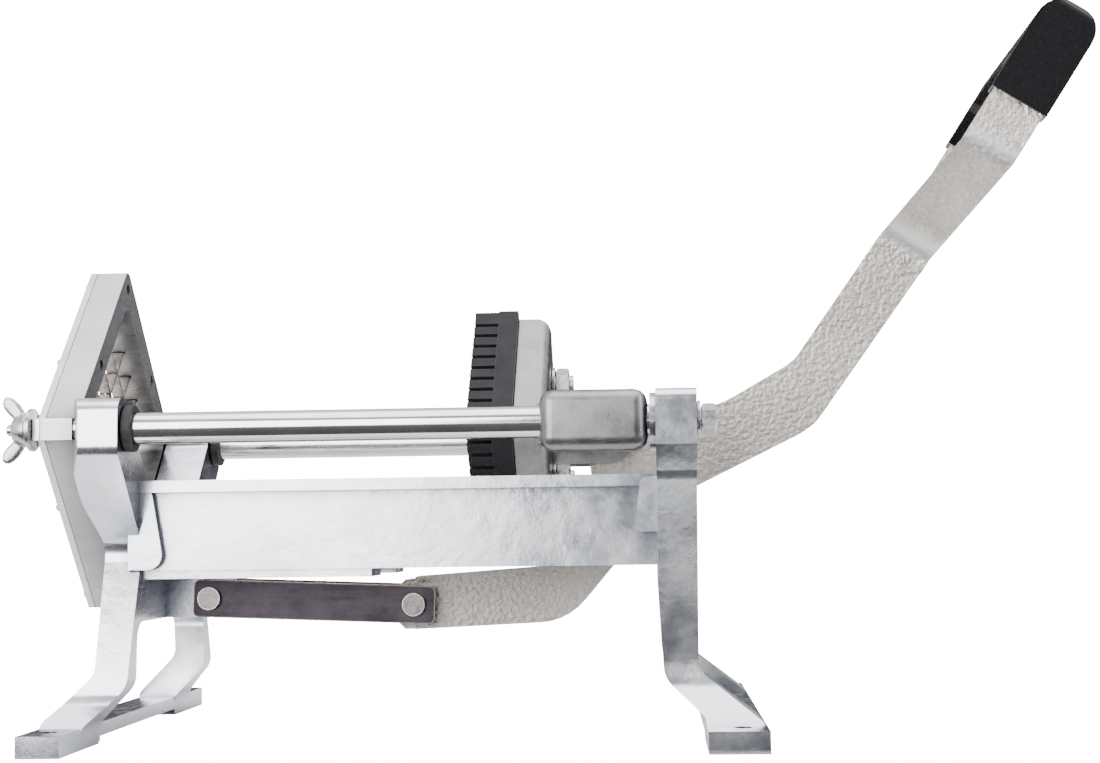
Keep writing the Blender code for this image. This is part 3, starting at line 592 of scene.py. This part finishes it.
def paddle(bm, up, centre, hub_x):
    """One wing of a wing nut: a flat oval section that leans forward and narrows to its rounded tip."""
    y, z = centre
    # In millimetres: forward of the hub's base, rise, half length across the lean, half thickness
    stations = [
        (2.8, 3.4, 2.3, 1.7),
        (4.6, 6.2, 2.8, 1.5),
        (6.6, 8.6, 3.1, 1.35),
        (8.4, 10.6, 2.9, 1.25),
        (9.6, 12.2, 2.0, 1.1),
        (10.2, 13.0, 0.7, 0.5),
    ]
    steps = 20
    squareness = 0.7  # 1 would give an ellipse, and less squares its corners
    rings = []
    for index, (ahead, rise, half, thick) in enumerate(stations):
        before = stations[max(index - 1, 0)]
        after = stations[min(index + 1, len(stations) - 1)]
        lean = Vector((before[0] - after[0], (after[1] - before[1]) * up)).normalized()
        across = Vector((lean.y, -lean.x)) * up
        ring = []
        for step in range(steps):
            angle = 2 * math.pi * step / steps
            reach = half * math.copysign(abs(math.cos(angle)) ** squareness, math.cos(angle)) * MM
            side = thick * math.sin(angle) * MM
            place = (
                hub_x - ahead * MM + across.x * reach,
                y + side,
                z + up * rise * MM + across.y * reach,
            )
            ring.append(bm.verts.new(place))
        rings.append(ring)
    for low, high in zip(rings, rings[1:]):
        for step in range(steps):
            after = (step + 1) % steps
            bm.faces.new((low[step], low[after], high[after], high[step]))
    bm.faces.new(rings[0])
    bm.faces.new(rings[-1])


def wing_nut(label, side):
    """A cold-forged wing nut: a coned hub with a bore and two leaning wings, blended together."""
    node = f"wing_nut_{label}"
    centre = (side * ROD_Y, AXIS_Z)
    low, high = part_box(node)
    base, front = high[0] - 0.35 * MM, high[0] - 6.5 * MM
    bore = 2.75 * MM
    profile = [
        (front, bore),
        (front, 4.4 * MM),
        (front + 0.8 * MM, 5.0 * MM),
        (base - 2.4 * MM, 6.4 * MM),
        (base - 0.6 * MM, 6.9 * MM),
        (base, 6.5 * MM),
        (base, bore),
        (front, bore),
    ]
    nut = turned(f"forged_{node}", profile, centre, "zinc", 48)
    for up in (1, -1):
        bm = bmesh.new()
        paddle(bm, up, centre, high[0])
        bmesh.ops.recalc_face_normals(bm, faces=bm.faces)
        boolean(nut, mesh_object("wing", bm), "UNION")
    remesh = nut.modifiers.new("even", "REMESH")
    remesh.mode = "VOXEL"
    remesh.voxel_size = 0.28 * MM
    smooth = nut.modifiers.new("forge", "SMOOTH")
    smooth.iterations = 4
    smooth.factor = 0.5
    applied(nut)
    nut.data.materials.clear()
    nut.data.materials.append(LOOKS["zinc"])
    finish_piece(nut, node, node, 60)


def relief(bm, lines, height, back):
    """A block whose front is a grid of raised and sunk cells: height(i, j) gives each cell's x."""
    count = len(lines) - 1
    turn = math.sqrt(0.5)  # the block stands on its corner
    corners = {}

    def corner(i, j, x):
        u, v = lines[i], lines[j]
        key = (i, j, round(x, 6))
        if key not in corners:
            corners[key] = bm.verts.new((x, turn * (u - v), AXIS_Z + turn * (u + v)))
        return corners[key]

    for i in range(count):
        for j in range(count):
            top = height(i, j)
            bm.faces.new([corner(a, b, top) for a, b in ((i, j), (i + 1, j), (i + 1, j + 1), (i, j + 1))])
            bm.faces.new([corner(a, b, back) for a, b in ((i, j), (i, j + 1), (i + 1, j + 1), (i + 1, j))])
            for di, dj, edge in (
                (1, 0, ((i + 1, j), (i + 1, j + 1))),
                (0, 1, ((i, j + 1), (i + 1, j + 1))),
                (-1, 0, ((i, j), (i, j + 1))),
                (0, -1, ((i, j), (i + 1, j))),
            ):
                inside = 0 <= i + di < count and 0 <= j + dj < count
                other = height(i + di, j + dj) if inside else back
                if top < other - 1e-7:
                    first, second = edge
                    wall = (
                        corner(*first, top),
                        corner(*second, top),
                        corner(*second, other),
                        corner(*first, other),
                    )
                    bm.faces.new(wall)


def pusher_block():
    """The moulded block: ten rows of square studs on a flange, bored for two bolt heads."""
    low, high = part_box("pusher_block")
    pitch, slot = 7.1 * MM, 2.2 * MM
    side, rim = 37.3 * MM, 0.4 * MM  # half of the studs' square, and the flange round it
    head_seat, head_bore, shank_bore = 3.7 * MM, 7.2 * MM, 4.3 * MM
    tip, floor, back = low[0], low[0] + 10.4 * MM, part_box("pusher_head")[0][0] - 0.3 * MM
    lines = [-side - rim, -side]
    for step in range(-4, 5):
        lines += [step * pitch - slot / 2, step * pitch + slot / 2]
    lines += [side, side + rim]
    last = len(lines) - 2
    recess = [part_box(f"pusher_bolt_{row}") for row in ("upper", "lower")]
    places = [(box[0][2] + box[1][2]) / 2 - AXIS_Z for box in recess]

    def height(i, j):
        """The x of one cell's face: a stud's tip, or the floor in the slots and round the bolts."""
        if i in (0, last) or j in (0, last) or i % 2 == 0 or j % 2 == 0:
            return floor
        middle = [(lines[k] + lines[k + 1]) / 2 for k in (i, j)]
        near = min(math.dist(middle, (rise * math.sqrt(0.5),) * 2) for rise in places)
        return floor if near < pitch else tip

    bm = bmesh.new()
    relief(bm, lines, height, back)
    bmesh.ops.recalc_face_normals(bm, faces=bm.faces)
    bmesh.ops.dissolve_limit(bm, angle_limit=math.radians(1), verts=bm.verts, edges=bm.edges)
    block = mesh_object("pusher_block_moulding", bm, "plastic")
    for index, rise in enumerate(places):
        centre = (0.0, AXIS_Z + rise)
        head_back = recess[index][0][0] + head_seat
        cut = [
            (tip - 2 * MM, head_bore),
            (head_back, head_bore),
            (head_back, shank_bore),
            (back + 2 * MM, shank_bore),
        ]
        boolean(block, turned("bore", cut, centre, "plastic", 48), "DIFFERENCE")
    soften(block, 0.3)
    finish_piece(block, "pusher_block", "pusher")


def hexagon(name, span, centre, across, bore, chamfer):
    """A zinc hexagon along X whose corners are turned down, with a round bore where bore isn't 0."""
    low, high = span
    radius = across / math.sqrt(3)
    bm = bmesh.new()
    bmesh.ops.create_cone(
        bm, cap_ends=True, segments=6, radius1=radius, radius2=radius, depth=high - low
    )
    lay = Matrix.Rotation(math.pi / 2, 4, "Y") @ Matrix.Rotation(math.pi / 6, 4, "Z")
    middle = Matrix.Translation(((low + high) / 2, *centre))
    bmesh.ops.transform(bm, matrix=middle @ lay, verts=bm.verts)
    head = mesh_object(name, bm, "zinc")
    drop, flat = chamfer * MM, across / 2 * 0.97
    ends = [(low, flat), (low + drop, radius * 1.01), (high - drop, radius * 1.01), (high, flat)]
    if bore:
        ends = [(low, bore), *ends, (high, bore), (low, bore)]
    return boolean(head, turned("chamfer", ends, centre, "zinc", 48), "INTERSECT")


def nuts_and_bolts():
    """The hexagons that show, each in its CAD node's box."""
    for label, side in SIDES:
        node = f"rod_bolt_{label}"
        low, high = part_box(node)
        centre = (side * ROD_Y, AXIS_Z)
        head_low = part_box(f"rod_washer_{label}")[1][0] + 0.3 * MM
        head = hexagon(f"hex_{node}", (head_low, high[0]), centre, 11.0 * MM, 0, chamfer=0.9)
        shank = [(low[0], 2.4 * MM), (head_low + 1 * MM, 2.4 * MM)]
        boolean(head, turned("shank", shank, centre, "zinc", 32), "UNION")
        soften(head, 0.15)
        finish_piece(head, node, "frame")
    for row in ("upper", "lower"):
        node = f"pusher_nut_{row}"
        low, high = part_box(node)
        centre = (0.0, (low[2] + high[2]) / 2)
        nut = hexagon(f"hex_{node}", (low[0], high[0]), centre, 12.6 * MM, 4.25 * MM, chamfer=0.8)
        soften(nut, 0.15)
        finish_piece(nut, node, "pusher")


# ---------------------------------------------------------------- stage


def studio_floor():
    """A pale floor that rolls up into a backdrop well behind the machine."""
    front, rear, rise, half = -2.5, 2.6, 3.0, 4.0
    radius, steps = 0.8, 16
    profile = [(front, 0.0)]
    for step in range(steps + 1):
        turn = math.pi / 2 * step / steps
        profile.append((rear - radius + radius * math.sin(turn), radius - radius * math.cos(turn)))
    profile.append((rear, rise))
    bm = bmesh.new()
    rows = [[bm.verts.new((x, y, z)) for x in (-half, half)] for y, z in profile]
    for low, high in zip(rows, rows[1:]):
        bm.faces.new((low[0], low[1], high[1], high[0]))
    floor = mesh_object("studio_floor", bm)
    floor.data.shade_smooth()
    look = Look("studio_paper", roughness=0.9)
    paper = look.noise(300, 3, 0.6)
    look.colour(look.ramp(paper, (0.4, (0.90, 0.90, 0.90)), (0.7, (0.93, 0.93, 0.93))))
    # The paper is lit from behind, so the camera sees it white while the metal still reflects it as grey.
    glow = look.shader.inputs["Emission Strength"]
    look.shader.inputs["Emission Color"].default_value = (1, 1, 1, 1)
    seen = look.node("ShaderNodeLightPath").outputs["Is Camera Ray"]
    look.link(look.spread(seen, 0.0, BACKDROP_GLOW, 0.0, 1.0), glow)
    floor.data.materials.append(look.material)


DIM_SIDE = (0.35, -0.93, 0.10)
ROOM_LEVELS = ((0.0, 1.35), (0.35, 1.2), (0.7, 0.6), (0.93, 0.3), (1.0, 0.25))  # bright side to dim side
ROOM_STRENGTH = 2.0  # a ramp's colour stops at 1, so the levels are halved there and doubled here


def studio_world():
    """A room that is bright behind the machine and dim towards the camera, for the metal to reflect."""
    world = bpy.data.worlds.new("studio")
    bpy.context.scene.world = world
    world.use_nodes = True
    tree = world.node_tree
    back = tree.nodes["Background"]
    place = tree.nodes.new("ShaderNodeTexCoord").outputs["Generated"]
    towards = tree.nodes.new("ShaderNodeVectorMath")
    towards.operation = "DOT_PRODUCT"
    towards.inputs[1].default_value = DIM_SIDE
    tree.links.new(place, towards.inputs[0])
    ramp = tree.nodes.new("ShaderNodeValToRGB")
    points = ramp.color_ramp.elements
    while len(points) < len(ROOM_LEVELS):
        points.new(0.5)
    for point, (at, level) in zip(points, ROOM_LEVELS):
        point.position = at
        half = level / ROOM_STRENGTH
        point.color = (half * 0.985, half, half * 1.04, 1)
    tree.links.new(towards.outputs["Value"], ramp.inputs["Fac"])
    tree.links.new(ramp.outputs["Color"], back.inputs["Color"])
    back.inputs["Strength"].default_value = ROOM_STRENGTH


def flag(name, x, y, z, level):
    """A thin dull card that only the metal's reflections see, as a photographer's black flag."""
    bm = bmesh.new()
    bmesh.ops.create_cube(bm, size=1.0)
    sides = [high - low + 1 * MM for low, high in (x, y, z)]
    middle = Vector([(low + high) / 2 for low, high in (x, y, z)])
    shape = Matrix.Translation(middle) @ Matrix.Diagonal((*sides, 1))
    bmesh.ops.transform(bm, matrix=shape, verts=bm.verts)
    card = mesh_object(name, bm)
    look = Look(name + "_card", roughness=1.0, colour=(level, level, level * 1.12))
    card.data.materials.append(look.material)
    card.visible_camera = False
    card.visible_shadow = False
    card.visible_diffuse = False


def softbox(name, at, target, size, power):
    """A white rectangular light, out of the camera's sight."""
    light = bpy.data.lights.new(name, "AREA")
    light.shape = "RECTANGLE"
    light.size, light.size_y = size
    light.energy = power
    made = bpy.data.objects.new(name, light)
    bpy.context.scene.collection.objects.link(made)
    made.location = at
    made.visible_camera = False
    made.rotation_euler = (Vector(target) - Vector(at)).to_track_quat("-Z", "Y").to_euler()


def camera():
    """The photograph's viewpoint, rolled by CAMERA_ROLL about its own line of sight."""
    forward = Vector(
        (
            math.sin(CAMERA_YAW) * math.cos(CAMERA_PITCH),
            math.cos(CAMERA_YAW) * math.cos(CAMERA_PITCH),
            math.sin(CAMERA_PITCH),
        )
    )
    level = Vector((math.cos(CAMERA_YAW), -math.sin(CAMERA_YAW), 0))
    up = level.cross(forward)
    turn = Matrix.Rotation(CAMERA_ROLL, 4, forward)
    data = bpy.data.cameras.new("camera")
    data.lens = CAMERA_LENS
    data.sensor_width = 36.0
    data.clip_start = 0.01
    made = bpy.data.objects.new("camera", data)
    bpy.context.scene.collection.objects.link(made)
    upright = Matrix((level, up, -forward)).transposed().to_4x4()
    made.matrix_world = Matrix.Translation(CAMERA_AT) @ turn @ upright
    bpy.context.scene.camera = made


dress_all()
for label, side in SIDES:
    guide_rod(label, side)
    wing_nut(label, side)
pusher_block()
nuts_and_bolts()
studio_floor()
studio_world()
flag("floor_flag", (-0.8, 0.8), (-1.1, -0.118), (0.0005, 0.001), 0.03)
flag("rear_flag", (-1.2, 1.2), (1.2, 1.201), (0.02, 0.8), 0.04)
softbox("top_light", (0.1, -0.2, 1.5), (0, 0, 0.1), (1.6, 1.2), 18)
softbox("left_panel", (-0.75, -1.35, 0.45), (0, 0, 0.1), (1.3, 1.3), 34)
softbox("right_light", (1.5, -0.6, 0.8), (0.1, 0, 0.15), (0.7, 1.1), 13)
camera()
